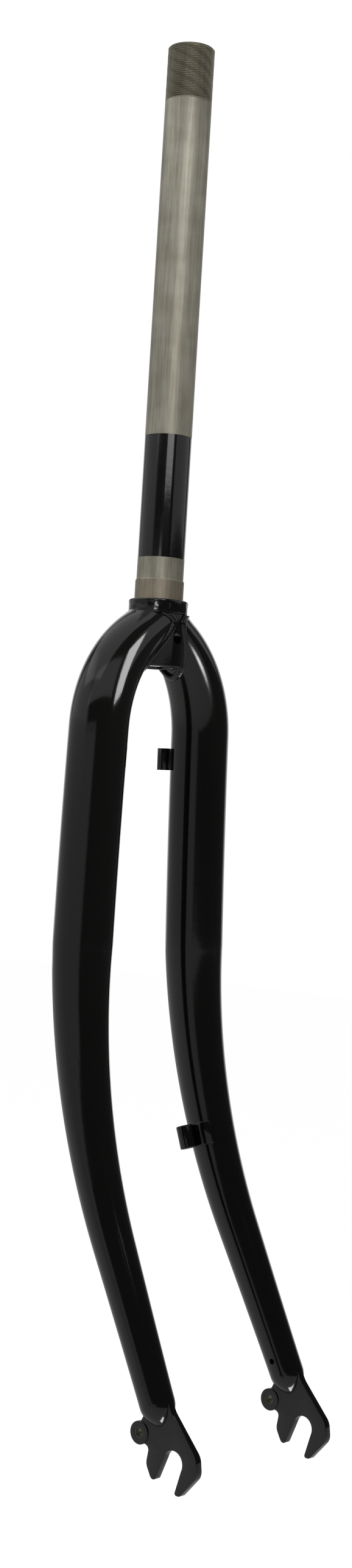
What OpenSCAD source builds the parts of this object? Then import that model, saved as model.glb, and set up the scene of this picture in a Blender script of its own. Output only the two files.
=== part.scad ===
// Bicycle fork with a threaded steerer, two curved tapered blades and slotted dropouts.
// Z runs up the steerer, X points forward and Y to the rider's left.
// The origin is on the steering axis, at the shoulder that the headset's crown race sits on.

/* [Steerer] */
// Outside diameter of the steerer, a one inch column
steerer_d = 25.4; // [25:0.1:26]
// Bore that takes the handlebar stem's quill
steerer_bore_d = 22.2; // [21.6:0.1:22.6]
// Steerer length above the race shoulder
steerer_length = 301; // [150:1:330]
// Length of the threaded end
thread_length = 30; // [22:1:45]
// Chamfer at the steerer's upper end
steerer_chamfer = 0.8; // [0.3:0.1:1.2]
// Width of the keyway that stops the lock washer from turning
keyway_w = 3.2; // [2.4:0.1:4]
// Depth of the keyway
keyway_depth = 0.8; // [0.4:0.1:1.1]

/* [Crown] */
// Diameter of the seat that the crown race is pressed on
race_seat_d = 26.4; // [26.2:0.1:27]
// Height of the race seat
race_seat_h = 11; // [8:0.5:16]
// Diameter of the shoulder under the crown race
shoulder_d = 32; // [31.4:0.1:36]
// Thickness of that shoulder
shoulder_h = 7.5; // [5:0.5:8.5]
// Diameter of the barrel that the blades are welded to
barrel_d = 31; // [30.6:0.1:31.4]
// Depth of the barrel's open lower end below the race shoulder
barrel_drop = 36.3; // [36:0.1:42]
// Bore of the barrel, where the column is butted thicker
barrel_bore_d = 20.6; // [18:0.1:21.4]
// Diameter of the hole through the crown for a brake or mudguard bolt
bolt_hole_d = 6.2; // [5:0.1:6.6]
// Depth of that hole's centre below the race shoulder
bolt_hole_drop = 20.5; // [18:0.5:24]

/* [Blades] */
// Diameter of a blade down to its bend
blade_d = 31.8; // [30:0.1:33]
// Diameter of a blade at its lower end
blade_tip_d = 18; // [16:0.5:20]
// Wall of the blades
blade_wall = 1.4; // [1:0.1:2]
// Height of the oval that the blade's upper end is flattened to
blade_crown_h = 25; // [24:0.2:28]
// Width of that oval
blade_crown_w = 30.2; // [29:0.2:30.4]
// Radius of the shoulder bend, at the centreline
shoulder_bend_r = 67; // [60:1:74]
// Slope of the blade where it leaves the crown
shoulder_start_angle = 34.5; // [32:0.5:37]
// Length of the nearly straight stretch between the two bends
blade_straight = 115; // [80:1:180]
// Slight forward turn of that stretch, from its upper to its lower end
blade_ease_angle = 1.4; // [0.5:0.1:1.8]
// Radius of the tight start of the forward bend
kink_r = 150; // [100:10:200]
// Slope of the blade below that tight start
kink_angle = 2.1; // [2:0.1:6]
// Radius of the long forward bend
forward_bend_r = 350; // [300:5:450]
// Slope of the blade below the forward bend
forward_angle = 27.4; // [18:0.1:32]
// Straight stretch from the forward bend to the blade's end
blade_end_straight = 81; // [50:1:90]
// Length of the domed end below that stretch
dome_length = 12; // [8:0.5:14]
// How pointed the domed end is, where 0.5 is an ellipse
dome_point = 0.7; // [0.5:0.05:0.9]
// How the taper eases off toward the tip, where 1 is an even taper
taper_power = 1.2; // [1:0.1:1.6]
// Diameter of the vent hole on each blade's inner side
vent_d = 3; // [2:0.5:4]
// Distance of the vent hole above the blade's end
vent_up = 7; // [4:1:20]

/* [Dropouts] */
// Distance between the dropouts' inner faces, the hub's width
hub_width = 100; // [90:1:110]
// Thickness of a dropout plate
plate_t = 4; // [3:0.5:6]
// Width of the axle slot where the axle rests
slot_w = 12.3; // [9:0.1:13]
// Lean of the slot's mouth to the rear
slot_tilt = 19.5; // [12:0.5:25]
// Opening of each side of the slot toward its mouth
slot_flare = 3; // [0:0.5:6]
// Distance of the axle ahead of the blade's end
axle_ahead = 14; // [13:0.1:16]
// Distance of the axle below the blade's end
axle_below = 26.1; // [25:0.1:28]
// Length of the tongue that is brazed into the blade
tongue_length = 14; // [8:1:20]
// Outside diameter of the mudguard eyelet
eyelet_d = 11.6; // [10:0.1:13]
// Thickness of the eyelet's boss
eyelet_t = 5.4; // [4.4:0.2:7]
// Diameter of the eyelet's threaded hole, over the thread's crests
eyelet_hole_d = 4.4; // [4:0.1:5.2]
// Distance of the eyelet behind the axle
eyelet_behind = 22.5; // [22:0.1:25]
// Distance of the eyelet above the axle
eyelet_above = 10.1; // [9:0.1:12]

/* [Welds] */
// Radius of the weld bead round each blade's upper end
bead_r = 2.2; // [1.6:0.1:2.8]

/* [Cable guides] */
// Bore of both guides, for a cable's outer casing
guide_bore_d = 5.2; // [4.2:0.1:5.6]
// Outside diameter of the upper guide
upper_guide_d = 7.2; // [6.8:0.1:8]
// Length of the upper guide
upper_guide_length = 12; // [8:1:16]
// Depth of the upper guide's middle below the race shoulder
upper_guide_drop = 84; // [75:1:150]
// Direction of the upper guide round the blade, from straight back toward the wheel
upper_guide_turn = 41; // [30:1:60]
// Outside diameter of the lower cable stop
cable_stop_d = 9; // [8:0.1:10]
// Length of the lower cable stop
cable_stop_length = 12.5; // [9:0.5:16]
// Distance of the lower stop's middle along the forward bend
cable_stop_along = 102.5; // [60:0.5:130]
// Direction of the lower stop round the blade, from straight back toward the wheel
cable_stop_turn = 80; // [60:1:85]
// Thickness of the saddle plate under the lower stop
saddle_t = 1.5; // [1:0.1:2]
// Angle round the blade that the saddle plate covers ahead of the stop
saddle_wrap = 50; // [30:1:60]

/* [Hidden] */
$fn = 96;
past = 1;

// Places on the crown
butt_top = 30;
butt_length = 12;
edge_chamfer = 0.8;
shoulder_start_y = 12;
shoulder_start_z = -17.8;
blade_start = -10.5;

// Fineness of the swept blades
blade_sides = 32;
bore_sides = 20;

// Places along a blade's centreline, as lengths from the shoulder bend's start
lean_guess = 2;
plate_mid = hub_width / 2 + plate_t / 2;
shoulder_end_angle = 90 - lean_guess;
shoulder_arc = shoulder_bend_r * (shoulder_end_angle - shoulder_start_angle) * PI / 180;
kink_start = shoulder_arc + blade_straight;
ease_r = blade_straight / blade_ease_angle * 180 / PI;
kink_arc = kink_r * (kink_angle - blade_ease_angle) * PI / 180;
bend_start = kink_start + kink_arc;
bend_arc = forward_bend_r * (forward_angle - kink_angle) * PI / 180;
end_start = bend_start + bend_arc;
blade_end = end_start + blade_end_straight;

// How far an arc in the side view goes down and forward as its slope goes from a to b
function arc_down(r, a, b) = r * (sin(b) - sin(a));
function arc_forward(r, a, b) = r * (cos(a) - cos(b));
ease_down = arc_down(ease_r, 0, blade_ease_angle);
ease_forward = arc_forward(ease_r, 0, blade_ease_angle);
kink_down = ease_down + arc_down(kink_r, blade_ease_angle, kink_angle);
kink_forward = ease_forward + arc_forward(kink_r, blade_ease_angle, kink_angle);
bend_down = kink_down + arc_down(forward_bend_r, kink_angle, forward_angle);
bend_forward = kink_forward + arc_forward(forward_bend_r, kink_angle, forward_angle);

// The leg leans out so that its end meets the dropout's plate
foot_y = shoulder_start_y
    + shoulder_bend_r * (sin(shoulder_end_angle) - sin(shoulder_start_angle));
foot_z = shoulder_start_z
    + shoulder_bend_r * (cos(shoulder_end_angle) - cos(shoulder_start_angle));
leg_depth = bend_down + blade_end_straight * cos(forward_angle);
lean = asin((plate_mid - foot_y) / leg_depth);
down = [0, sin(lean), -cos(lean)];
outward = [0, cos(lean), sin(lean)];
forward = [1, 0, 0];

// Slope of the centreline in the fork's front view, and then in its side view
function front_slope(s) = s < 0 ? shoulder_start_angle
    : min(shoulder_end_angle, shoulder_start_angle + s / shoulder_bend_r * 180 / PI);
function side_slope(s) = s < shoulder_arc ? 0
    : s < kink_start ? (s - shoulder_arc) / ease_r * 180 / PI
    : s < bend_start ? blade_ease_angle + (s - kink_start) / kink_r * 180 / PI
    : s < end_start ? kink_angle + (s - bend_start) / forward_bend_r * 180 / PI
    : forward_angle;

// How far the centreline has gone down the leg, and forward, at a length past the shoulder
function leg_down(s) = s < kink_start ? arc_down(ease_r, 0, side_slope(s))
    : s < bend_start ? ease_down + arc_down(kink_r, blade_ease_angle, side_slope(s))
    : s < end_start ? kink_down + arc_down(forward_bend_r, kink_angle, side_slope(s))
    : bend_down + (s - end_start) * cos(forward_angle);
function leg_forward(s) = s < kink_start ? arc_forward(ease_r, 0, side_slope(s))
    : s < bend_start ? ease_forward + arc_forward(kink_r, blade_ease_angle, side_slope(s))
    : s < end_start ? kink_forward + arc_forward(forward_bend_r, kink_angle, side_slope(s))
    : bend_forward + (s - end_start) * sin(forward_angle);

// Centreline point, and the two directions across the tube
function centre(s) = s < 0
    ? [0, shoulder_start_y + s * cos(shoulder_start_angle),
        shoulder_start_z - s * sin(shoulder_start_angle)]
    : s < shoulder_arc
    ? [0, shoulder_start_y + shoulder_bend_r * (sin(front_slope(s)) - sin(shoulder_start_angle)),
        shoulder_start_z + shoulder_bend_r * (cos(front_slope(s)) - cos(shoulder_start_angle))]
    : [0, foot_y, foot_z] + down * leg_down(s) + forward * leg_forward(s);
function across(s) = s < shoulder_arc ? [0, sin(front_slope(s)), cos(front_slope(s))] : outward;
function ahead(s) = forward * cos(side_slope(s)) - down * sin(side_slope(s));
function along(s) = down * cos(side_slope(s)) + forward * sin(side_slope(s));

// Half sizes of the tube across and ahead, with the domed end
function dome(s) = s < blade_end ? 1
    : pow(max(0, 1 - pow((s - blade_end) / dome_length, 2)), dome_point);
function taper(s) = s < kink_start ? 1
    : pow(1 - min(1, (s - kink_start) / (blade_end - kink_start)), taper_power);
function rounding(s) = s < 0 ? 0 : sin(90 * min(1, s / shoulder_arc));
function half_round(s) = dome(s) * (blade_tip_d + (blade_d - blade_tip_d) * taper(s)) / 2;
function half_across(s) = half_round(s) - (1 - rounding(s)) * (blade_d - blade_crown_h) / 2;
function half_ahead(s) = half_round(s) - (1 - rounding(s)) * (blade_d - blade_crown_w) / 2;
function skin_point(s, a, inset) = centre(s)
    + across(s) * max(0.05, half_across(s) - inset) * cos(a)
    + ahead(s) * max(0.05, half_ahead(s) - inset) * sin(a);

// Lengths at which the blade's rings stand
function steps(from, to, n) = [for (i = [0 : n - 1]) from + (to - from) * i / n];
function dome_steps(n) = [for (i = [0 : n]) blade_end + dome_length * sin(88 * i / n)];
skin_rings = concat([blade_start], steps(0, shoulder_arc, 9), steps(shoulder_arc, kink_start, 3),
    steps(kink_start, bend_start, 2), steps(bend_start, end_start, 10),
    steps(end_start, blade_end, 3), dome_steps(5));
bore_rings = concat([blade_start - past], steps(0, shoulder_arc, 7),
    steps(shoulder_arc, kink_start, 2), steps(kink_start, end_start, 8),
    steps(end_start, blade_end, 2), dome_steps(4));

// A closed tube through rings of points
module swept(rings, sides) {
    count = len(rings);
    points = [for (ring = rings) for (p = ring) p];
    walls = [for (i = [0 : count - 2]) for (j = [0 : sides - 1])
        [i * sides + j, (i + 1) * sides + j,
         (i + 1) * sides + (j + 1) % sides, i * sides + (j + 1) % sides]];
    lid = [[for (j = [0 : sides - 1]) j],
           [for (j = [0 : sides - 1]) count * sides - 1 - j]];
    polyhedron(points, concat(walls, lid), convexity = 4);
}

module blade_form(lengths, sides, inset) {
    swept([for (s = lengths) [for (j = [0 : sides - 1]) skin_point(s, 360 * j / sides, inset)]],
        sides);
}

// The blade's outside, as one closed form
module blade_skin() {
    blade_form(skin_rings, blade_sides, 0);
}

// Outside of the steerer column and its crown end, turned as one piece
module steerer_turned() {
    r = steerer_d / 2;
    seat_r = race_seat_d / 2;
    rotate_extrude()
        polygon([[0, -barrel_drop], [barrel_d / 2 - edge_chamfer, -barrel_drop],
            [barrel_d / 2, -barrel_drop + edge_chamfer], [barrel_d / 2, -shoulder_h],
            [shoulder_d / 2 - edge_chamfer, -shoulder_h],
            [shoulder_d / 2, -shoulder_h + edge_chamfer],
            [shoulder_d / 2, -edge_chamfer], [shoulder_d / 2 - edge_chamfer, 0],
            [seat_r, 0], [seat_r, race_seat_h - (seat_r - r)], [r, race_seat_h],
            [r, steerer_length - steerer_chamfer], [r - steerer_chamfer, steerer_length],
            [0, steerer_length]]);
}

module steerer_bore() {
    rotate_extrude()
        polygon([[0, -barrel_drop - past], [barrel_bore_d / 2, -barrel_drop - past],
            [barrel_bore_d / 2, butt_top], [steerer_bore_d / 2, butt_top + butt_length],
            [steerer_bore_d / 2, steerer_length + past], [0, steerer_length + past]]);
}

module bolt_hole(d) {
    translate([0, 0, -bolt_hole_drop])
        rotate([0, 90, 0])
            cylinder(h = shoulder_d + 4 * past, d = d, center = true);
}

module steerer() {
    color("#8c887a")
        difference() {
            steerer_turned();
            steerer_bore();
            bolt_hole(bolt_hole_d);
            translate([-steerer_d / 2 - past, -keyway_w / 2, steerer_length - thread_length])
                cube([keyway_depth + past, keyway_w, thread_length + past]);
        }
}

// The left blade: a hollow tapered tube, mitred to the barrel and slotted for its dropout
module blade() {
    difference() {
        blade_skin();
        blade_form(bore_rings, bore_sides, blade_wall);
        steerer_turned();
        dropout_plate();
        translate(centre(blade_end - vent_up))
            rotate([90, 0, 0])
                cylinder(h = blade_d, d = vent_d);
    }
}

module blade_left() {
    color("#1c1c1a")
        blade();
}

module blade_right() {
    color("#1c1c1a")
        mirror([0, 1, 0])
            blade();
}

// Corner of an outline, rounded by an arc that touches both of its sides
function unit(v) = v / norm(v);
function corner(before, at, after, r) =
    let (u = unit(before - at), v = unit(after - at), half = acos(u * v) / 2,
        c = at + unit(u + v) * r / sin(half), reach = r / tan(half),
        from = at + u * reach - c, turn = 180 - 2 * half,
        way = u[0] * v[1] - u[1] * v[0] > 0 ? -1 : 1)
    [for (i = [0 : 6]) let (a = way * turn * i / 6)
        c + [from[0] * cos(a) - from[1] * sin(a), from[0] * sin(a) + from[1] * cos(a)]];
function outline(corners) = [for (i = [0 : len(corners) - 1])
    let (n = len(corners), c = corners[i], b = corners[(i + n - 1) % n], a = corners[(i + 1) % n])
    each c[2] == 0 ? [[c[0], c[1]]]
        : corner([b[0], b[1]], [c[0], c[1]], [a[0], a[1]], c[2])];

// Places on the dropout in the fork's side view, from the axle
blade_dir = [sin(forward_angle), -cos(forward_angle)];
blade_ahead = [cos(forward_angle), sin(forward_angle)];
blade_foot = [-axle_ahead, axle_below * cos(lean)];
tongue_top = blade_foot - blade_dir * tongue_length;
tip_r = blade_tip_d / 2;
axle = centre(blade_end) + [axle_ahead, 0, -axle_below * cos(lean)];
function bare(p, r) = [p[0], p[1], r];

// Point on a side of the slot, 1 ahead or -1 behind, at a depth below the axle; the sides
// start a little inside the round end, so that they run out into it
slot_inset = 0.06;
function slot_side(side, depth) =
    let (half = side * (slot_w / 2 - slot_inset + depth * tan(slot_flare)))
    [half * cos(slot_tilt) - depth * sin(slot_tilt),
     -half * sin(slot_tilt) - depth * cos(slot_tilt)];
front_arm = slot_side(1, 13.7);
rear_arm = slot_side(-1, 15.3);

// Side view of the plate: tongue, hooked front arm, short rear arm and the neck to the eyelet
plate_corners = [
    bare(tongue_top + blade_ahead * tip_r, 1.5),
    bare(blade_foot + blade_ahead * tip_r + blade_dir * 7, 14),
    [14.6, 5.6, 8],
    [15.9, -3.4, 6],
    bare(front_arm + [3.6, 0.1], 1.8),
    bare(front_arm, 1.2),
    bare(slot_side(1, 0), 0),
    bare(slot_side(-1, 0), 0),
    bare(rear_arm, 1.9),
    [-14.1, -9.8, 3],
    [-17.4, -4, 6],
    [-16, 4.4, 2.5],
    [-eyelet_behind + 1, eyelet_above - 4, 0],
    [-eyelet_behind - 1, eyelet_above + 3, 0],
    bare(blade_foot - blade_ahead * tip_r + blade_dir * 3, 2),
    bare(tongue_top - blade_ahead * tip_r, 1.5)];

// The left dropout's plate, cut through for the axle
module dropout_plate() {
    translate([axle[0], hub_width / 2 + plate_t, axle[2]])
        rotate([90, 0, 0])
            linear_extrude(plate_t)
                difference() {
                    polygon(outline(plate_corners));
                    circle(d = slot_w);
                }
}

module dropout() {
    eyelet = [axle[0] - eyelet_behind, plate_mid, axle[2] + eyelet_above];
    difference() {
        union() {
            dropout_plate();
            translate(eyelet)
                rotate([90, 0, 0])
                    cylinder(h = eyelet_t, d = eyelet_d, center = true);
        }
        translate(eyelet)
            rotate([90, 0, 0])
                cylinder(h = eyelet_t + 2 * past, d = eyelet_hole_d, center = true);
    }
}

module dropout_left() {
    color("#1c1c1a")
        dropout();
}

module dropout_right() {
    color("#1c1c1a")
        mirror([0, 1, 0])
            dropout();
}

// Where the blade's skin meets the barrel, for each direction round the blade
function reach_out(s, a) = let (p = skin_point(s, a, 0)) norm([p[0], p[1]]);
function mitre(a, low, high, n) = let (mid = (low + high) / 2)
    n == 0 ? mid
    : reach_out(mid, a) < barrel_d / 2 ? mitre(a, mid, high, n - 1) : mitre(a, low, mid, n - 1);
function mitre_point(a) = skin_point(mitre(a, blade_start, shoulder_arc / 2, 16), a, 0);

// Weld bead in the corner between the blade and the barrel
bead_steps = 36;
bead_sides = 8;
function bead_ring(i) =
    let (a = 360 * i / bead_steps, p = mitre_point(a),
        travel = unit(mitre_point(a + 2) - mitre_point(a - 2)),
        out = unit([p[0], p[1], 0]), side = unit(cross(travel, out)), up = cross(side, travel))
    [for (j = [0 : bead_sides - 1]) let (t = 360 * j / bead_sides)
        p + bead_r * (side * cos(t) + up * sin(t))];

module bead_loop() {
    points = [for (i = [0 : bead_steps - 1]) each bead_ring(i)];
    walls = [for (i = [0 : bead_steps - 1]) for (j = [0 : bead_sides - 1])
        let (n = (i + 1) % bead_steps, k = (j + 1) % bead_sides)
        [i * bead_sides + j, i * bead_sides + k, n * bead_sides + k, n * bead_sides + j]];
    polyhedron(points, walls, convexity = 4);
}

module crown_weld() {
    bolt_clearance = 1;
    difference() {
        bead_loop();
        blade_skin();
        steerer_turned();
        bolt_hole(bolt_hole_d + bolt_clearance);
        translate([-shoulder_d, -shoulder_d, -shoulder_h])
            cube([2 * shoulder_d, 2 * shoulder_d, shoulder_d]);
    }
}

module crown_weld_left() {
    color("#232320")
        crown_weld();
}

module crown_weld_right() {
    color("#232320")
        mirror([0, 1, 0])
            crown_weld();
}

// Puts a child on the blade's skin: its Z runs up the blade and its X points out from it
module on_blade(s, turn) {
    tilt = side_slope(s);
    translate(centre(s))
        rotate([lean, 0, 0])
            rotate([0, -tilt, 0])
                rotate([0, 0, 180 + turn])
                    children();
}

skin_gap = 0.05;
upper_guide_s = shoulder_arc + (foot_z + upper_guide_drop) / cos(lean);

module upper_cable_guide() {
    r = half_round(upper_guide_s) + skin_gap;
    middle = r + upper_guide_d / 2;
    color("#1c1c1a")
        on_blade(upper_guide_s, upper_guide_turn)
            difference() {
                union() {
                    translate([middle, 0, 0])
                        cylinder(h = upper_guide_length, d = upper_guide_d, center = true);
                    translate([middle - upper_guide_d / 2, 0, 0])
                        cube([upper_guide_d / 2, upper_guide_d * 0.7, upper_guide_length - 2],
                            center = true);
                }
                translate([middle, 0, 0])
                    cylinder(h = upper_guide_length + 2 * past, d = guide_bore_d, center = true);
                cylinder(h = upper_guide_length + 2 * past, r = r, center = true);
            }
}

cable_stop_s = bend_start + cable_stop_along;
cable_stop_r = half_round(cable_stop_s) + skin_gap;

module lower_cable_stop() {
    middle = cable_stop_r + saddle_t + cable_stop_d / 2;
    color("#1c1c1a")
        on_blade(cable_stop_s, cable_stop_turn)
            difference() {
                translate([middle, 0, 0])
                    cylinder(h = cable_stop_length, d = cable_stop_d, center = true);
                translate([middle, 0, 0])
                    cylinder(h = cable_stop_length + 2 * past, d = guide_bore_d, center = true);
            }
}

module stop_saddle() {
    back = 14;
    half_l = cable_stop_length / 2;
    low_r = half_round(cable_stop_s + half_l) + skin_gap;
    high_r = half_round(cable_stop_s - half_l) + skin_gap;
    color("#1c1c1a")
        on_blade(cable_stop_s, cable_stop_turn)
            rotate([0, 0, -back])
                rotate_extrude(angle = saddle_wrap + back)
                    polygon([[low_r, -half_l], [cable_stop_r + saddle_t, -half_l],
                        [cable_stop_r + saddle_t, half_l], [high_r, half_l]]);
}

steerer();
blade_left();
blade_right();
dropout_left();
dropout_right();
crown_weld_left();
crown_weld_right();
upper_cable_guide();
lower_cable_stop();
stop_saddle();
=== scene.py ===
"""A steel bicycle fork with a bare drawn steerer and gloss black enamel on all below it."""
import math

import bmesh
import bpy
from mathutils import Matrix, Vector, noise


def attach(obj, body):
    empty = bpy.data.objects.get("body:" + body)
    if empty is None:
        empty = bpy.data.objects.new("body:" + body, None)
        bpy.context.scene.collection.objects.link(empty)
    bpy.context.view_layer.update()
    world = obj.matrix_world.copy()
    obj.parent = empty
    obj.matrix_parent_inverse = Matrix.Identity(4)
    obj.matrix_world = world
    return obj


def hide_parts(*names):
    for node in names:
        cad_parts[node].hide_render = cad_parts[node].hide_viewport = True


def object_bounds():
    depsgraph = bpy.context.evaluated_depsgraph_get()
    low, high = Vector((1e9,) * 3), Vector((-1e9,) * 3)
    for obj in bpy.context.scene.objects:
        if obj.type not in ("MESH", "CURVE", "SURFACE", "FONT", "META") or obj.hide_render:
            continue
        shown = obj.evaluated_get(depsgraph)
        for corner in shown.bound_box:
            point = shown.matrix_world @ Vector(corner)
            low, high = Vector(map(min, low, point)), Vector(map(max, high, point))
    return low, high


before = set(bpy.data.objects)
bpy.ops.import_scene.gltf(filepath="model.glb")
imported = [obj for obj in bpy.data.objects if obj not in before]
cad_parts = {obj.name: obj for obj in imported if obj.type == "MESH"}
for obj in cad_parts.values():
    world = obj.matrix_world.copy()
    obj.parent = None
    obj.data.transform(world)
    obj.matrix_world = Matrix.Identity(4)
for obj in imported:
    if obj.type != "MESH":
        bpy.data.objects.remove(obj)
cad_box = [list(corner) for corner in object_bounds()]

MM = 0.001
TUBE_SMOOTH_UNDER = 50

# Steerer and crown barrel. All sizes are in millimetres, as in the construction.
STEERER_R = 12.7
BORE_R = 11.1
STEERER_TOP = 301
THREAD_LENGTH = 30
THREAD_PITCH = 25.4 / 24
THREAD_DEPTH = 0.65
THREAD_STEEPNESS = 1.15
THREAD_FLAT = 0.05
ROWS_PER_TURN = 7
END_CHAMFER = 0.8
KEYWAY_W = 3.2
KEYWAY_DEPTH = 0.8
SEAT_R = 13.2
SEAT_H = 11
SHOULDER_R = 16
SHOULDER_H = 7.5
BARREL_R = 15.5
BARREL_DROP = 36.3
BARREL_BORE_R = 10.3
BUTT_TOP = 30
BUTT_LENGTH = 12
EDGE_ROUND = 0.8
SHOULDER_FILLET = 0.6
BORE_CHAMFER = 0.25
LOWER_CHAMFER = 0.4
PAINT_WAVE = 0.25
PAINT_WAVE_LENGTH = 3.5
BOLT_HOLE_R = 3.1
BOLT_HOLE_DROP = 20.5
PAINT_BAND = (22.6, 88.8)

# Blades
BLADE_R = 15.9
TIP_R = 9
CROWN_H = 25
CROWN_W = 30.2
BEND_R = 67
START_ANGLE = math.radians(34.5)
END_ANGLE = math.radians(88)
START_Y = 12
START_Z = -17.8
BLADE_START = -10.5
STRAIGHT = 115
EASE_ANGLE = math.radians(1.4)
KINK_R = 150
KINK_ANGLE = math.radians(2.1)
FORWARD_R = 350
FORWARD_ANGLE = math.radians(27.4)
END_STRAIGHT = 81
DOME = 12
DOME_POINT = 0.7
TAPER_POWER = 1.2
PLATE_MID = 52
VENT_R = 1.5
VENT_UP = 7
EYELET_X = 69.27
EYELET_Z = -423.46
EYELET_HOLE_R = 2.2

# Weld beads
BEAD_R = 1.9
RIPPLE_SPACING = 2.2
RIPPLE_FOOT = 0.96
RIPPLE_RISE = 0.05

# Brazing at the foot of the upper guide, which is turned this far from the blade's outer side
GUIDE_DROP = 84
GUIDE_TURN = math.radians(229)
FOOT_HALF_WIDTH = 2.6
FOOT_HALF_LENGTH = 5.1
FILLET_R = 0.9

# Places along a blade
SHOULDER_ARC = BEND_R * (END_ANGLE - START_ANGLE)
EASE_R = STRAIGHT / EASE_ANGLE
KINK_START = SHOULDER_ARC + STRAIGHT
BEND_START = KINK_START + KINK_R * (KINK_ANGLE - EASE_ANGLE)
END_START = BEND_START + FORWARD_R * (FORWARD_ANGLE - KINK_ANGLE)
BLADE_END = END_START + END_STRAIGHT


def arc_down(r, a, b):
    """How far an arc goes down the leg, between two slopes."""
    return r * (math.sin(b) - math.sin(a))


def arc_forward(r, a, b):
    """How far an arc goes forward, between two slopes."""
    return r * (math.cos(a) - math.cos(b))


EASE_DOWN = arc_down(EASE_R, 0, EASE_ANGLE)
EASE_AHEAD = arc_forward(EASE_R, 0, EASE_ANGLE)
KINK_DOWN = EASE_DOWN + arc_down(KINK_R, EASE_ANGLE, KINK_ANGLE)
KINK_AHEAD = EASE_AHEAD + arc_forward(KINK_R, EASE_ANGLE, KINK_ANGLE)
BEND_DOWN = KINK_DOWN + arc_down(FORWARD_R, KINK_ANGLE, FORWARD_ANGLE)
BEND_AHEAD = KINK_AHEAD + arc_forward(FORWARD_R, KINK_ANGLE, FORWARD_ANGLE)
FOOT_Y = START_Y + BEND_R * (math.sin(END_ANGLE) - math.sin(START_ANGLE))
FOOT_Z = START_Z + BEND_R * (math.cos(END_ANGLE) - math.cos(START_ANGLE))
LEG_DEPTH = BEND_DOWN + END_STRAIGHT * math.cos(FORWARD_ANGLE)
LEAN = math.asin((PLATE_MID - FOOT_Y) / LEG_DEPTH)
DOWN = Vector((0, math.sin(LEAN), -math.cos(LEAN)))
OUTWARD = Vector((0, math.cos(LEAN), math.sin(LEAN)))
FORWARD = Vector((1, 0, 0))


def front_slope(s):
    """Slope of the blade's centreline in the front view."""
    if s < 0:
        return START_ANGLE
    return min(END_ANGLE, START_ANGLE + s / BEND_R)


def side_slope(s):
    """Slope of the blade's centreline in the side view."""
    if s < SHOULDER_ARC:
        return 0
    if s < KINK_START:
        return (s - SHOULDER_ARC) / EASE_R
    if s < BEND_START:
        return EASE_ANGLE + (s - KINK_START) / KINK_R
    if s < END_START:
        return KINK_ANGLE + (s - BEND_START) / FORWARD_R
    return FORWARD_ANGLE


def leg_place(s):
    """How far the centreline has gone down the leg and forward."""
    slope = side_slope(s)
    if s < KINK_START:
        return arc_down(EASE_R, 0, slope), arc_forward(EASE_R, 0, slope)
    if s < BEND_START:
        return (EASE_DOWN + arc_down(KINK_R, EASE_ANGLE, slope),
                EASE_AHEAD + arc_forward(KINK_R, EASE_ANGLE, slope))
    if s < END_START:
        return (KINK_DOWN + arc_down(FORWARD_R, KINK_ANGLE, slope),
                KINK_AHEAD + arc_forward(FORWARD_R, KINK_ANGLE, slope))
    return (BEND_DOWN + (s - END_START) * math.cos(FORWARD_ANGLE),
            BEND_AHEAD + (s - END_START) * math.sin(FORWARD_ANGLE))


def centre(s):
    """Point of the left blade's centreline."""
    if s < 0:
        return Vector((0, START_Y + s * math.cos(START_ANGLE),
                       START_Z - s * math.sin(START_ANGLE)))
    if s < SHOULDER_ARC:
        slope = front_slope(s)
        return Vector((0, START_Y + BEND_R * (math.sin(slope) - math.sin(START_ANGLE)),
                       START_Z + BEND_R * (math.cos(slope) - math.cos(START_ANGLE))))
    down, ahead = leg_place(s)
    return Vector((0, FOOT_Y, FOOT_Z)) + DOWN * down + FORWARD * ahead


def across(s):
    """Direction across the blade, out from the wheel."""
    if s < SHOULDER_ARC:
        return Vector((0, math.sin(front_slope(s)), math.cos(front_slope(s))))
    return OUTWARD


def ahead(s):
    """Direction across the blade, to the front."""
    return FORWARD * math.cos(side_slope(s)) - DOWN * math.sin(side_slope(s))


def half_round(s):
    """Radius of the blade, with its taper and its domed end."""
    taper = 1
    if s > KINK_START:
        taper = max(0, 1 - (s - KINK_START) / (BLADE_END - KINK_START)) ** TAPER_POWER
    dome = 1
    if s > BLADE_END:
        dome = max(0, 1 - ((s - BLADE_END) / DOME) ** 2) ** DOME_POINT
    return dome * (TIP_R + (BLADE_R - TIP_R) * taper)


def skin_point(s, a):
    """Point of the left blade's skin, at an angle that starts on its outer side."""
    rounding = 0 if s < 0 else math.sin(math.pi / 2 * min(1, s / SHOULDER_ARC))
    half_across = half_round(s) - (1 - rounding) * (BLADE_R - CROWN_H / 2)
    half_ahead = half_round(s) - (1 - rounding) * (BLADE_R - CROWN_W / 2)
    return centre(s) + across(s) * half_across * math.cos(a) + ahead(s) * half_ahead * math.sin(a)


def even(start, end, count):
    """Values from start up to, but not including, end."""
    return [start + (end - start) * i / count for i in range(count)]


def round_point(r, z, a):
    """Point at a radius, a height and an angle round the steering axis."""
    return Vector((r * math.cos(a), r * math.sin(a), z))


def smooth(mesh, angle):
    """Shades a mesh smooth, but for edges that turn by more than the angle in degrees."""
    mesh.polygons.foreach_set("use_smooth", [True] * len(mesh.polygons))
    mesh.set_sharp_from_angle(angle=math.radians(angle))


def object_in_metres(name, bm, smooth_under):
    """Turns a bmesh in metres into an object."""
    mesh = bpy.data.meshes.new(name)
    bm.to_mesh(mesh)
    bm.free()
    smooth(mesh, smooth_under)
    obj = bpy.data.objects.new(name, mesh)
    bpy.context.scene.collection.objects.link(obj)
    return obj


def object_from(name, bm, smooth_under=35):
    """Turns a bmesh in millimetres into an object in metres."""
    bmesh.ops.recalc_face_normals(bm, faces=bm.faces)
    bmesh.ops.scale(bm, vec=(MM, MM, MM), verts=bm.verts)
    return object_in_metres(name, bm, smooth_under)


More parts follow.
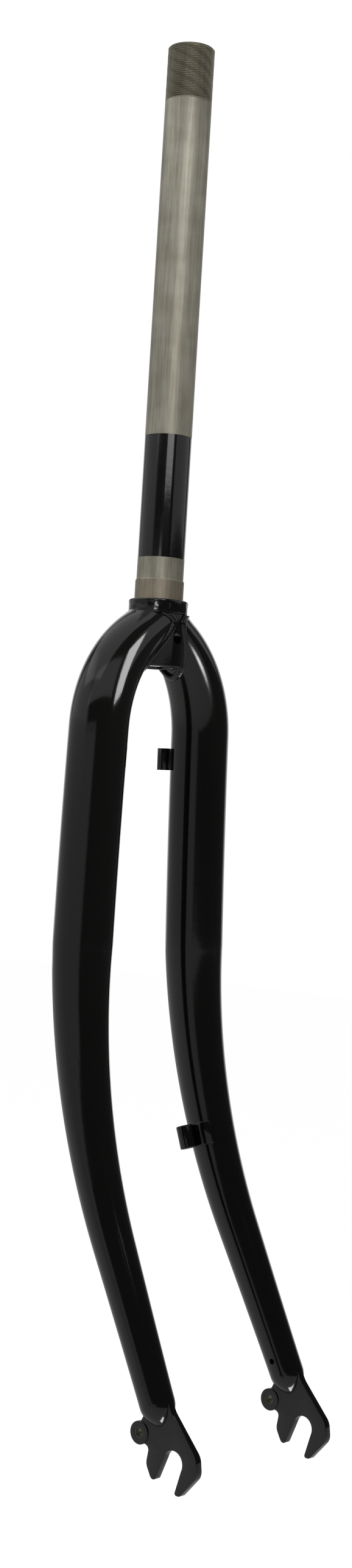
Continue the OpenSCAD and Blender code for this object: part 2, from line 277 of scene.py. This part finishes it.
def loft(rings, closed=False):
    """Skins a list of rings of points, with lids on its ends unless it closes on itself."""
    bm = bmesh.new()
    rows = [[bm.verts.new(p) for p in ring] for ring in rings]
    pairs = list(zip(rows, rows[1:]))
    if closed:
        pairs.append((rows[-1], rows[0]))
    for low, high in pairs:
        for i in range(len(low)):
            k = (i + 1) % len(low)
            bm.faces.new((low[i], low[k], high[k], high[i]))
    if not closed:
        bm.faces.new(list(reversed(rows[0])))
        bm.faces.new(rows[-1])
    return bm


def cut(obj, cutter):
    """Takes a closed cutter away from a closed tube, and deletes the cutter."""
    step = obj.modifiers.new("cut", "BOOLEAN")
    step.operation = "DIFFERENCE"
    step.solver = "EXACT"
    step.object = cutter
    bpy.context.view_layer.update()
    depsgraph = bpy.context.evaluated_depsgraph_get()
    mesh = bpy.data.meshes.new_from_object(obj.evaluated_get(depsgraph))
    obj.modifiers.clear()
    obj.data = mesh
    smooth(mesh, TUBE_SMOOTH_UNDER)
    bpy.data.objects.remove(cutter)
    return obj


def rod(name, start, end, r, sides=48):
    """A plain closed cylinder between two points, for cutting."""
    axis = (end - start).normalized()
    turn = axis.to_track_quat("Z", "Y").to_matrix()
    rings = [[p + turn @ Vector((r * math.cos(t), r * math.sin(t), 0))
              for t in even(0, math.tau, sides)] for p in (start, end)]
    return object_from(name, loft(rings))


# Steerer

SEGMENTS = 128
CUTTER_SEGMENTS = 96


def thread_radius(z, a):
    """Radius of the steerer in its threaded end."""
    start = STEERER_TOP - THREAD_LENGTH
    end = STEERER_TOP - END_CHAMFER
    fade = min(1, (z - start) / THREAD_PITCH, (end - z) / THREAD_PITCH * 2)
    turn = (z / THREAD_PITCH - a / math.tau) % 1
    ridge = abs(2 * turn - 1)
    groove = min(1, max(0, THREAD_STEEPNESS * (1 - ridge) - THREAD_FLAT))
    return STEERER_R - THREAD_DEPTH * groove * max(0, fade)


def keyed(point):
    """Pushes a point of the steerer's skin in where the keyway runs."""
    flat = -(STEERER_R - KEYWAY_DEPTH)
    inside = abs(point.y) < KEYWAY_W / 2 and point.x < flat
    if inside and point.z >= STEERER_TOP - THREAD_LENGTH:
        point.x = flat
    return point


def arc_rows(r, z, radius, start, end, count=4):
    """Rounds a corner of the turned profile, with the arc's centre at r, z."""
    return [(r + radius * math.cos(math.radians(t)), z + radius * math.sin(math.radians(t)))
            for t in (start + (end - start) * i / count for i in range(count + 1))]


def outer_profile():
    """Profile of the turned column, from the barrel's lower edge up to the thread.

    Spare rows beside the edges keep the faces between them flat in the light.
    """
    e = EDGE_ROUND
    f = SHOULDER_FILLET
    rows = arc_rows(BARREL_R - e, -BARREL_DROP + e, e, -90, 0)
    rows += [(BARREL_R, -SHOULDER_H - f)]
    rows += arc_rows(BARREL_R + f, -SHOULDER_H - f, f, 180, 90, 2)[1:2]
    rows += arc_rows(SHOULDER_R - e, -SHOULDER_H + e, e, -90, 0)
    rows += [(SHOULDER_R, z) for z in even(-SHOULDER_H + e + f, -e, 10)]
    rows += arc_rows(SHOULDER_R - e, -e, e, 0, 90)
    rows += [(SEAT_R + 0.3, 0), (SEAT_R, 0.3), (SEAT_R, 0.6), (SEAT_R, SEAT_H - 0.8)]
    rows += [(SEAT_R, SEAT_H - 0.5), (STEERER_R, SEAT_H)]
    rows += [(STEERER_R, z) for z in (SEAT_H + 0.3, PAINT_BAND[0], PAINT_BAND[1], 150, 210)]
    return rows


def flange_point(r, z, a):
    """Point of the turned column. The paint lies thick and a little wavy round the flange."""
    depth = min(-z, z + SHOULDER_H)
    if depth > 0:
        wave = noise.noise(round_point(r, z, a) / PAINT_WAVE_LENGTH)
        r += PAINT_WAVE * min(1, depth / EDGE_ROUND) * wave
    return round_point(r, z, a)


def build_steerer():
    """The turned column with its thread, keyway, butted bore and brake bolt hole."""
    angles = even(0, math.tau, SEGMENTS)
    thread_start = STEERER_TOP - THREAD_LENGTH
    thread_rows = round(THREAD_LENGTH / THREAD_PITCH * ROWS_PER_TURN)
    rings = [[flange_point(r, z, a) for a in angles] for r, z in outer_profile()]
    for z in even(thread_start, STEERER_TOP - END_CHAMFER, thread_rows):
        rings.append([keyed(round_point(thread_radius(z, a), z, a)) for a in angles])
    inner = [(STEERER_R, STEERER_TOP - END_CHAMFER),
             (STEERER_R - END_CHAMFER + 0.1, STEERER_TOP - 0.05),
             (STEERER_R - END_CHAMFER, STEERER_TOP), (BORE_R + BORE_CHAMFER, STEERER_TOP),
             (BORE_R, STEERER_TOP - BORE_CHAMFER), (BORE_R, BUTT_TOP + BUTT_LENGTH),
             (BARREL_BORE_R, BUTT_TOP), (BARREL_BORE_R, -BARREL_DROP + LOWER_CHAMFER),
             (BARREL_BORE_R + LOWER_CHAMFER, -BARREL_DROP)]
    rings += [[keyed(round_point(r, z, a)) for a in angles] for r, z in inner]
    column = object_from("steerer_column", loft(rings, closed=True), TUBE_SMOOTH_UNDER)
    reach = Vector((BARREL_R + 3, 0, 0))
    depth = Vector((0, 0, -BOLT_HOLE_DROP))
    return cut(column, rod("bolt_cutter", depth - reach, depth + reach, BOLT_HOLE_R))


def build_barrel_cutter():
    """The solid outside of the crown barrel, which the blades are mitred to."""
    e = EDGE_ROUND
    profile = arc_rows(BARREL_R - e, -BARREL_DROP + e, e, -90, 0)
    profile += [(BARREL_R, -SHOULDER_H), (SHOULDER_R, -SHOULDER_H), (SHOULDER_R, 5)]
    angles = even(0, math.tau, CUTTER_SEGMENTS)
    rings = [[round_point(r, z, a) for a in angles] for r, z in profile]
    return object_from("barrel_cutter", loft(rings))


# Blades

BLADE_SIDES = 72
DOME_RINGS = 14
LAST_DOME_RING = 88


def mirrored(point, side):
    """A left blade's point, on the side it is for."""
    return Vector((point.x, point.y * side, point.z))


def build_blade(name, side):
    """A tapered blade with its mitre, its domed end and its vent hole."""
    lengths = even(BLADE_START, 0, 3) + even(0, SHOULDER_ARC, 40)
    lengths += even(SHOULDER_ARC, KINK_START, 14) + even(KINK_START, END_START, 50)
    lengths += even(END_START, BLADE_END, 18)
    lengths += [BLADE_END + DOME * math.sin(math.radians(t))
                for t in even(0, LAST_DOME_RING, DOME_RINGS) + [LAST_DOME_RING]]
    angles = even(0, math.tau, BLADE_SIDES)
    rings = [[mirrored(skin_point(s, a), side) for a in angles] for s in lengths]
    blade = object_from(name, loft(rings), TUBE_SMOOTH_UNDER)
    cut(blade, build_barrel_cutter())
    middle = centre(BLADE_END - VENT_UP)
    skin = half_round(BLADE_END - VENT_UP)
    start = mirrored(middle - Vector((0, skin + 2, 0)), side)
    end = mirrored(middle - Vector((0, skin - 3, 0)), side)
    return cut(blade, rod("vent_cutter", start, end, VENT_R, 24))


# Welds and brazing

def mitre_point(a):
    """Where the left blade's skin meets the barrel."""
    low, high = BLADE_START, SHOULDER_ARC / 2
    for _ in range(24):
        middle = (low + high) / 2
        p = skin_point(middle, a)
        if math.hypot(p.x, p.y) < BARREL_R:
            low = middle
        else:
            high = middle
    return skin_point(high, a)


def build_bead(name, side, steps=300, sides=14):
    """Weld bead with the small overlapping ripples that a torch leaves."""
    points = [mitre_point(a) for a in even(0, math.tau, steps)]
    run = 0
    rings = []
    for i, p in enumerate(points):
        travel = (points[(i + 1) % steps] - points[i - 1]).normalized()
        run += (p - points[i - 1]).length if i else 0
        out = Vector((p.x, p.y, 0)).normalized()
        aside = travel.cross(out).normalized()
        up = aside.cross(travel)
        phase = (run / RIPPLE_SPACING) % 1
        r = BEAD_R * (RIPPLE_FOOT + RIPPLE_RISE * math.sqrt(phase))
        ring = []
        for t in even(0, math.tau, sides):
            q = p + (aside * math.cos(t) + up * math.sin(t)) * r
            q.z = min(q.z, -SHOULDER_H)
            ring.append(mirrored(q, side))
        rings.append(ring)
    return object_from(name, loft(rings, closed=True), 60)


def squared(value):
    """Pushes a sine or cosine outward, which turns a circle into a rounded square."""
    return math.copysign(abs(value) ** 0.4, value)


def build_brazing(name, steps=72, sides=10):
    """The low fillet of brazing round the upper guide's foot, on the left blade's skin."""
    s = SHOULDER_ARC + (FOOT_Z + GUIDE_DROP) / math.cos(LEAN)
    foot = skin_point(s, GUIDE_TURN)
    out = (foot - centre(s)).normalized()
    rings = []
    for t in even(0, math.tau, steps):
        p = skin_point(s + FOOT_HALF_LENGTH * squared(math.sin(t)),
                       GUIDE_TURN + FOOT_HALF_WIDTH * squared(math.cos(t)) / BLADE_R)
        aside = (p - foot).normalized()
        rings.append([p + (aside * math.cos(u) + out * math.sin(u)) * FILLET_R
                      for u in even(0, math.tau, sides)])
    return object_from(name, loft(rings, closed=True), 60)


def softened(node, name, width, smooth_under=40):
    """A copy of a small CAD piece with its sharp edges rounded as a file and paint leave them."""
    bm = bmesh.new()
    bm.from_mesh(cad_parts[node].data)
    bmesh.ops.remove_doubles(bm, verts=bm.verts, dist=0.000005)
    bmesh.ops.dissolve_limit(bm, angle_limit=math.radians(1), verts=bm.verts, edges=bm.edges)
    sharp = [e for e in bm.edges
             if len(e.link_faces) == 2 and e.calc_face_angle(0) > math.radians(smooth_under)]
    bmesh.ops.bevel(bm, geom=sharp, offset=width * MM, segments=3, profile=0.5, affect="EDGES",
                    clamp_overlap=True)
    bmesh.ops.triangulate(bm, faces=[f for f in bm.faces if len(f.verts) > 4])
    return object_in_metres(name, bm, smooth_under)


# Finishes

def linear(hex_colour):
    """Turns an sRGB hex colour into the linear values that the shaders take."""
    values = [int(hex_colour[i:i + 2], 16) / 255 for i in (1, 3, 5)]
    return (*(v / 12.92 if v <= 0.04045 else ((v + 0.055) / 1.055) ** 2.4 for v in values), 1)


def add(tree, kind, sockets=(), **settings):
    """Adds a node with its settings. A socket takes another node's output, or a value."""
    node = tree.nodes.new(kind)
    for key, value in settings.items():
        setattr(node, key, value)
    for key, value in dict(sockets).items():
        if isinstance(value, bpy.types.NodeSocket):
            tree.links.new(value, node.inputs[key])
        else:
            node.inputs[key].default_value = value
    return node


def noise_scale(size):
    """Noise scale whose patches are about this many millimetres across."""
    return 1 / (size * MM)


# Sizes of the finishes' patterns. The orange peel, the film's patches and the stains are about
# as large as real ones. Real draw lines are some 0.2 mm apart, and are coarser here to show.
PEEL = 4
FILM = 33
DRAW_LINE = 1.2
STAIN = 14


def finish(name, colour, metallic, roughness):
    """A material with its plain colour, metallic and roughness on the shader itself."""
    material = bpy.data.materials.new(name)
    material.use_nodes = True
    shader = material.node_tree.nodes["Principled BSDF"]
    shader.inputs["Base Color"].default_value = linear(colour)
    shader.inputs["Metallic"].default_value = metallic
    shader.inputs["Roughness"].default_value = roughness
    return material, material.node_tree, shader


def gloss_enamel():
    """Sprayed and baked gloss black enamel: a deep black with sharp lights, faint orange peel."""
    material, tree, shader = finish("gloss_enamel", "#0d0d0c", 0, 0.1)
    place = add(tree, "ShaderNodeTexCoord").outputs["Object"]
    peel = add(tree, "ShaderNodeTexNoise", {"Vector": place, "Scale": noise_scale(PEEL),
                                            "Detail": 2})
    bump = add(tree, "ShaderNodeBump", {"Height": peel.outputs["Fac"], "Strength": 0.05,
                                        "Distance": 0.4 * MM})
    tree.links.new(bump.outputs["Normal"], shader.inputs["Normal"])
    film = add(tree, "ShaderNodeTexNoise", {"Vector": place, "Scale": noise_scale(FILM),
                                            "Detail": 5})
    rough = add(tree, "ShaderNodeMapRange", {"Value": film.outputs["Fac"], "From Min": 0.35,
                                             "From Max": 0.7, "To Min": 0.08, "To Max": 0.14})
    tree.links.new(rough.outputs["Result"], shader.inputs["Roughness"])
    return material


def drawn_steel(name, colour, dark, roughness):
    """Drawn steel as it comes from the mill: warm grey, fine lines along it, faint stains."""
    material, tree, shader = finish(name, colour, 1, roughness)
    place = add(tree, "ShaderNodeTexCoord").outputs["Object"]
    stretch = add(tree, "ShaderNodeMapping", {"Vector": place, "Scale": (1, 1, 0.04)})
    lines = add(tree, "ShaderNodeTexNoise", {"Vector": stretch.outputs["Vector"],
                                             "Scale": noise_scale(DRAW_LINE), "Detail": 3})
    stains = add(tree, "ShaderNodeTexNoise", {"Vector": place, "Scale": noise_scale(STAIN),
                                              "Detail": 6})
    both = add(tree, "ShaderNodeMix", {"Factor": 0.5, "A": lines.outputs["Fac"],
                                       "B": stains.outputs["Fac"]})
    ramp = add(tree, "ShaderNodeValToRGB", {"Fac": both.outputs["Result"]})
    ramp.color_ramp.elements[0].position = 0.38
    ramp.color_ramp.elements[0].color = linear(dark)
    ramp.color_ramp.elements[1].position = 0.6
    ramp.color_ramp.elements[1].color = linear(colour)
    tree.links.new(ramp.outputs["Color"], shader.inputs["Base Color"])
    bump = add(tree, "ShaderNodeBump", {"Height": both.outputs["Result"], "Strength": 0.12,
                                        "Distance": 0.2 * MM})
    tree.links.new(bump.outputs["Normal"], shader.inputs["Normal"])
    return material


# The tube is grey, the turned seat under the race a little browner, and the cut thread darker
ENAMEL = gloss_enamel()
STEEL = drawn_steel("drawn_steel", "#a9a598", "#8f8b7d", 0.46)
SEAT_STEEL = drawn_steel("turned_steel", "#9e9686", "#857c6c", 0.5)
THREAD_STEEL = drawn_steel("cut_thread_steel", "#9a9587", "#858173", 0.5)
PAINTED, BARE, THREADED, TURNED = range(4)


def steerer_finish(face):
    """Which finish a face of the steerer has: enamel, bare tube, cut thread or turned seat."""
    z = face.center.z / MM
    r = math.hypot(face.center.x, face.center.y) / MM
    if r < BORE_R + 0.2:
        return PAINTED if z < 0 else BARE
    if z < 0 or PAINT_BAND[0] < z < PAINT_BAND[1]:
        return PAINTED
    if z < SEAT_H:
        return TURNED
    return THREADED if z > STEERER_TOP - THREAD_LENGTH else BARE


def in_eyelet(face):
    """Whether a face of a dropout is in its tapped hole, which the paint was cut out of."""
    reach = math.hypot(face.center.x / MM - EYELET_X, face.center.z / MM - EYELET_Z)
    return reach < EYELET_HOLE_R + 0.1


def dress(piece, node, slot, *materials):
    """Gives a piece its finish and puts it in its node's place."""
    piece.data.materials.clear()
    for material in materials:
        piece.data.materials.append(material)
    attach(piece, "root")
    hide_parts(node)
    return piece


steerer = build_steerer()
dress(steerer, "steerer", "steerer_steel", ENAMEL, STEEL, THREAD_STEEL, SEAT_STEEL)
for face in steerer.data.polygons:
    face.material_index = steerer_finish(face)

for side_name, side in (("left", 1), ("right", -1)):
    blade = build_blade("blade_tube_" + side_name, side)
    dress(blade, "blade_" + side_name, "black_paint", ENAMEL)
    bead = build_bead("weld_bead_" + side_name, side)
    dress(bead, "crown_weld_" + side_name, "black_paint", ENAMEL)
    plate = softened("dropout_" + side_name, "dropout_plate_" + side_name, 0.35)
    dress(plate, "dropout_" + side_name, "black_paint", ENAMEL, THREAD_STEEL)
    for face in plate.data.polygons:
        face.material_index = 1 if in_eyelet(face) else 0

for node, width in (("upper_cable_guide", 0.8), ("lower_cable_stop", 0.6), ("stop_saddle", 0.6)):
    dress(softened(node, node + "_soft", width), node, "black_paint", ENAMEL)

brazing = build_brazing("guide_brazing")
brazing.data.materials.append(ENAMEL)
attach(brazing, "root")


# Camera, as fitted to the photograph's outlines

IMAGE_W = 578
IMAGE_H = 2576
YAW = math.radians(-41.13)
PITCH = math.radians(1.12)
ROLL = math.radians(-3.43)
DISTANCE = 1178.7
ORIGIN_Z = 1.7
ORIGIN_PIXEL = (260.7, 982.0)
SENSOR = 36
LENS = 50

view = Vector((math.sin(YAW) * math.cos(PITCH), math.cos(YAW) * math.cos(PITCH), math.sin(PITCH)))
level = Vector((math.cos(YAW), -math.sin(YAW), 0))
upright = level.cross(view)
right = level * math.cos(ROLL) - upright * math.sin(ROLL)
up = level * math.sin(ROLL) + upright * math.cos(ROLL)
pixels = LENS / SENSOR * IMAGE_H
offset_x = (ORIGIN_PIXEL[0] - IMAGE_W / 2) * DISTANCE / pixels
offset_y = (ORIGIN_PIXEL[1] - IMAGE_H / 2) * DISTANCE / pixels
eye = Vector((0, 0, ORIGIN_Z)) - view * DISTANCE - right * offset_x + up * offset_y

camera_data = bpy.data.cameras.new("camera")
camera_data.lens = LENS
camera_data.sensor_fit = "VERTICAL"
camera_data.sensor_height = SENSOR
camera_data.clip_end = 50
camera = bpy.data.objects.new("camera", camera_data)
bpy.context.scene.collection.objects.link(camera)
turned = Matrix((right, up, -view)).transposed().to_4x4()
camera.matrix_world = Matrix.Translation(eye * MM) @ turned
bpy.context.scene.camera = camera


# Studio

FLOOR_DROP = 0.3
FLOOR_SIZE = 12
FLOOR_GLOW = 1.1
FLOOR_WHITE = 0.88
FLOOR_MIRRORED = 0.25
DIM_ROOM = 0.06


def build_floor():
    """A pale floor with the fork's shadow, almost white to the camera, dimmer in reflections."""
    bm = bmesh.new()
    bmesh.ops.create_grid(bm, x_segments=1, y_segments=1, size=FLOOR_SIZE / 2 / MM)
    bmesh.ops.translate(bm, vec=(0, 0, (cad_box[0][2] - FLOOR_DROP) / MM), verts=bm.verts)
    floor = object_from("floor", bm)
    material, tree, shader = finish("pale_floor", "#f4f4f2", 0, 0.8)
    shader.inputs["Specular IOR Level"].default_value = 0.1
    floor.data.materials.append(material)
    path = add(tree, "ShaderNodeLightPath")
    glossy = add(tree, "ShaderNodeMath", {0: path.outputs["Is Glossy Ray"],
                                          1: path.outputs["Is Transmission Ray"]},
                 operation="MAXIMUM")
    mirrored_part = add(tree, "ShaderNodeMath", {0: glossy.outputs[0], 1: FLOOR_MIRRORED},
                        operation="MULTIPLY")
    seen_part = add(tree, "ShaderNodeMath", {0: path.outputs["Is Camera Ray"], 1: FLOOR_WHITE},
                    operation="MULTIPLY")
    part = add(tree, "ShaderNodeMath", {0: seen_part.outputs[0], 1: mirrored_part.outputs[0]},
               operation="MAXIMUM")
    white = add(tree, "ShaderNodeEmission", {"Strength": FLOOR_GLOW})
    mix = add(tree, "ShaderNodeMixShader", {0: part.outputs[0], 1: shader.outputs["BSDF"],
                                            2: white.outputs["Emission"]})
    tree.links.new(mix.outputs[0], tree.nodes["Material Output"].inputs["Surface"])


def panel_lamp(name, width, height, radiance, place, facing, lights=()):
    """A white panel that faces a point, and lights only the pieces named, if any are."""
    data = bpy.data.lights.new(name, "AREA")
    data.shape = "RECTANGLE"
    data.size = width * MM
    data.size_y = height * MM
    data.energy = radiance * data.size * data.size_y * math.pi
    lamp = bpy.data.objects.new(name, data)
    bpy.context.scene.collection.objects.link(lamp)
    lamp.location = place * MM
    lamp.rotation_euler = (place - facing).to_track_quat("Z", "Y").to_euler()
    lamp.visible_camera = False
    if lights:
        lamp.light_linking.receiver_collection = bpy.data.collections.new(name + "_lights")
        for piece in lights:
            lamp.light_linking.receiver_collection.objects.link(bpy.data.objects[piece])
    return lamp


def standing_panel(name, turn, distance, low, high, width, radiance, foot=(0, 0), lights=()):
    """An upright panel, placed by its turn to the right of the camera, seen from the fork."""
    angle = math.atan2(-view.y, -view.x) + math.radians(turn)
    place = Vector((foot[0] + distance * math.cos(angle), foot[1] + distance * math.sin(angle),
                    (low + high) / 2))
    facing = Vector((foot[0], foot[1], place.z))
    return panel_lamp(name, width, high - low, radiance, place, facing, lights)


def glint_lamp(name, point, turn, rise, distance, width, height, radiance, lights):
    """A small panel for a glint on one piece: its turn and rise are as seen from the point."""
    angle = math.atan2(-view.y, -view.x) + math.radians(turn)
    level_part = math.cos(math.radians(rise))
    point = Vector(point)
    place = point + distance * Vector((math.cos(angle) * level_part, math.sin(angle) * level_part,
                                       math.sin(math.radians(rise))))
    return panel_lamp(name, width, height, radiance, place, point, lights)


def build_world():
    """A white wall on the left and behind the fork, and a dim room on the right."""
    world = bpy.data.worlds.new("studio")
    bpy.context.scene.world = world
    world.use_nodes = True
    tree = world.node_tree
    tree.nodes.clear()
    place = add(tree, "ShaderNodeTexCoord").outputs["Generated"]
    height = add(tree, "ShaderNodeSeparateXYZ", {"Vector": place}).outputs["Z"]
    behind = add(tree, "ShaderNodeVectorMath", {0: place, 1: tuple(view)},
                 operation="DOT_PRODUCT").outputs["Value"]
    leftward = add(tree, "ShaderNodeVectorMath", {0: place, 1: tuple(-level)},
                   operation="DOT_PRODUCT").outputs["Value"]
    soft = {"interpolation_type": "SMOOTHSTEP"}

    # The wall on the left is low at first and full height further left, and brighter higher up
    wall = add(tree, "ShaderNodeMapRange", {"Value": leftward, "From Min": 0.0, "From Max": 0.25},
               **soft)
    low = add(tree, "ShaderNodeMapRange", {"Value": height, "From Min": 0.14, "From Max": 0.09},
              **soft)
    far = add(tree, "ShaderNodeMapRange", {"Value": leftward, "From Min": 0.6, "From Max": 0.8},
              **soft)
    reach = add(tree, "ShaderNodeMath", {0: low.outputs[0], 1: far.outputs[0]},
                operation="MAXIMUM")
    lit = add(tree, "ShaderNodeMapRange", {"Value": height, "From Min": 0.04, "From Max": 0.17,
                                           "To Min": 0.40, "To Max": 0.68}, **soft)
    shape = add(tree, "ShaderNodeMath", {0: wall.outputs[0], 1: reach.outputs[0]},
                operation="MULTIPLY")
    left = add(tree, "ShaderNodeMath", {0: shape.outputs[0], 1: lit.outputs[0]},
               operation="MULTIPLY")

    # The backdrop behind the fork is white, and the rest of the room is dim
    back = add(tree, "ShaderNodeMapRange", {"Value": behind, "From Min": 0.65, "From Max": 0.95},
               **soft)
    both = add(tree, "ShaderNodeMath", {0: left.outputs[0], 1: back.outputs[0]},
               operation="MAXIMUM")
    strength = add(tree, "ShaderNodeMath", {0: both.outputs[0], 1: DIM_ROOM}, operation="MAXIMUM")
    light = add(tree, "ShaderNodeBackground", {"Color": (1, 1, 1, 1),
                                               "Strength": strength.outputs[0]})
    backdrop = add(tree, "ShaderNodeBackground", {"Color": (1, 1, 1, 1), "Strength": 1.0})
    path = add(tree, "ShaderNodeLightPath")
    mix = add(tree, "ShaderNodeMixShader", {0: path.outputs["Is Camera Ray"],
                                            1: light.outputs["Background"],
                                            2: backdrop.outputs["Background"]})
    add(tree, "ShaderNodeOutputWorld", {"Surface": mix.outputs[0]})


NEAR_SHOULDER = (15, -37)
FAR_SHOULDER = (14, 20)
FAR_SHOULDER_DROP = 27
NEAR_END = (85, -55, -414)
FAR_END = (85, 50, -415)
GLARE_SPREAD = math.radians(17)
CEILING_Z = 2000
CEILING_LEFT = 1506
CEILING_BEHIND = 181

build_floor()
build_world()

# Broad soft light from the front and the right, and from a ceiling on the left
standing_panel("front_panel", -10, 700, 230, 800, 1300, 0.6)
standing_panel("right_panel", 85, 600, 120, 700, 1100, 0.55)
overhead = Vector((0, 0, CEILING_Z)) - level * CEILING_LEFT + view * CEILING_BEHIND
panel_lamp("ceiling", 3740, 3490, 0.7, overhead, overhead - Vector((0, 0, 1)))

# The light line down the steerer, and the glint on the flange's paint
standing_panel("hot_lamp", 14, 700, 169, 270, 380, 3.5, lights=["steerer_column"])
standing_panel("high_panel", 18, 700, 420, 1000, 450, 1.8, lights=["steerer_column"])
standing_panel("flange_lamp", -6, 700, 58, 92, 130, 14, lights=["steerer_column"])

# The streaks on the blades' shoulders, the far one lit from below
standing_panel("shoulder_lamp", 60, 250, -8, 200, 110, 9.5, NEAR_SHOULDER, ["blade_tube_right"])
glare = standing_panel("low_glare", 63, 250, -160, -64, 110, 0.17, FAR_SHOULDER,
                       ["blade_tube_left"])
glare.data.spread = GLARE_SPREAD
aim = glare.location - Vector((*FAR_SHOULDER, -FAR_SHOULDER_DROP)) * MM
glare.rotation_euler = aim.to_track_quat("Z", "Y").to_euler()

# The glints on the blades' domed ends
glint_lamp("near_end_glint", NEAR_END, 56, -56, 300, 150, 150, 12, ["blade_tube_right"])
glint_lamp("far_end_glint", FAR_END, 80, -62, 300, 260, 260, 12, ["blade_tube_left"])

bpy.context.scene.view_settings.view_transform = "Standard"
